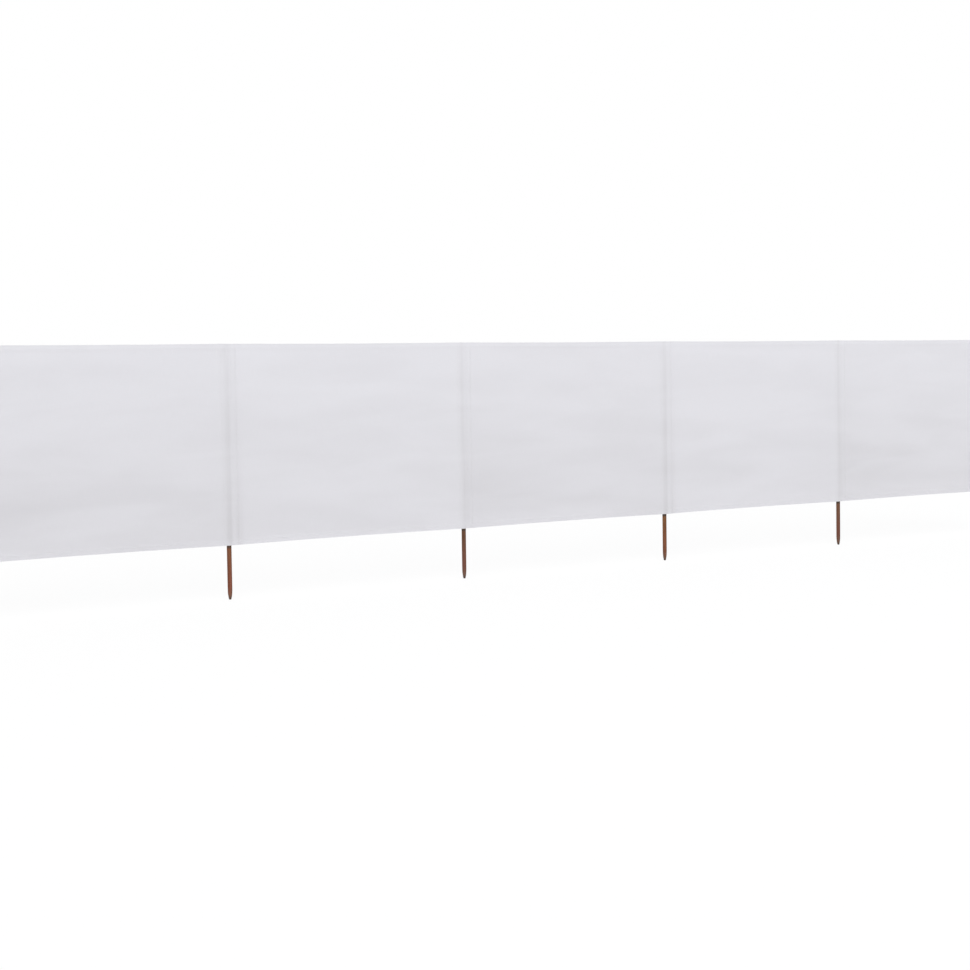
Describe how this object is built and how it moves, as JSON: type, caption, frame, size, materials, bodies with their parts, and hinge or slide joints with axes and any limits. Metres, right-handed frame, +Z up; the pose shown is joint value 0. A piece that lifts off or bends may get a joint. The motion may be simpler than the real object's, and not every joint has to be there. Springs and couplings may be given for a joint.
{
  "type": "beach windbreak",
  "caption": "Long taut cloth windbreak on round wooden stakes that slide into pockets sewn behind the cloth, with turned hems and blunt driven tips.",
  "frame": {"origin": "centre of the blunt tip of the middle pole, the lowest face of the wall", "axes": "+X along the wall, +Z up along the poles, the cloth's front faces -Y and the pockets are behind it, towards +Y"},
  "size_m": [9.096, 0.0302, 1.525],
  "materials": {
    "cloth": "plain white woven canvas, matt",
    "pocket_cloth": "white woven canvas strip, stitched",
    "hem_cloth": "white woven canvas, turned over and stitched",
    "wood": "reddish brown stained hardwood dowel, satin, tips darker from sand"
  },
  "bodies": {
    "root": {"pole_1": "wood", "pole_2": "wood", "pole_3": "wood", "pole_4": "wood", "pole_5": "wood", "pole_6": "wood", "pole_7": "wood", "pocket_1": "pocket_cloth", "pocket_2": "pocket_cloth", "pocket_3": "pocket_cloth", "pocket_4": "pocket_cloth", "pocket_5": "pocket_cloth", "pocket_6": "pocket_cloth", "pocket_7": "pocket_cloth", "panel_1": "cloth", "panel_2": "cloth", "panel_3": "cloth", "panel_4": "cloth", "panel_5": "cloth", "panel_6": "cloth", "top_hem_1": "hem_cloth", "top_hem_2": "hem_cloth", "top_hem_3": "hem_cloth", "top_hem_4": "hem_cloth", "top_hem_5": "hem_cloth", "top_hem_6": "hem_cloth", "bottom_hem_1": "hem_cloth", "bottom_hem_2": "hem_cloth", "bottom_hem_3": "hem_cloth", "bottom_hem_4": "hem_cloth", "bottom_hem_5": "hem_cloth", "bottom_hem_6": "hem_cloth"}
  },
  "joints": []
}
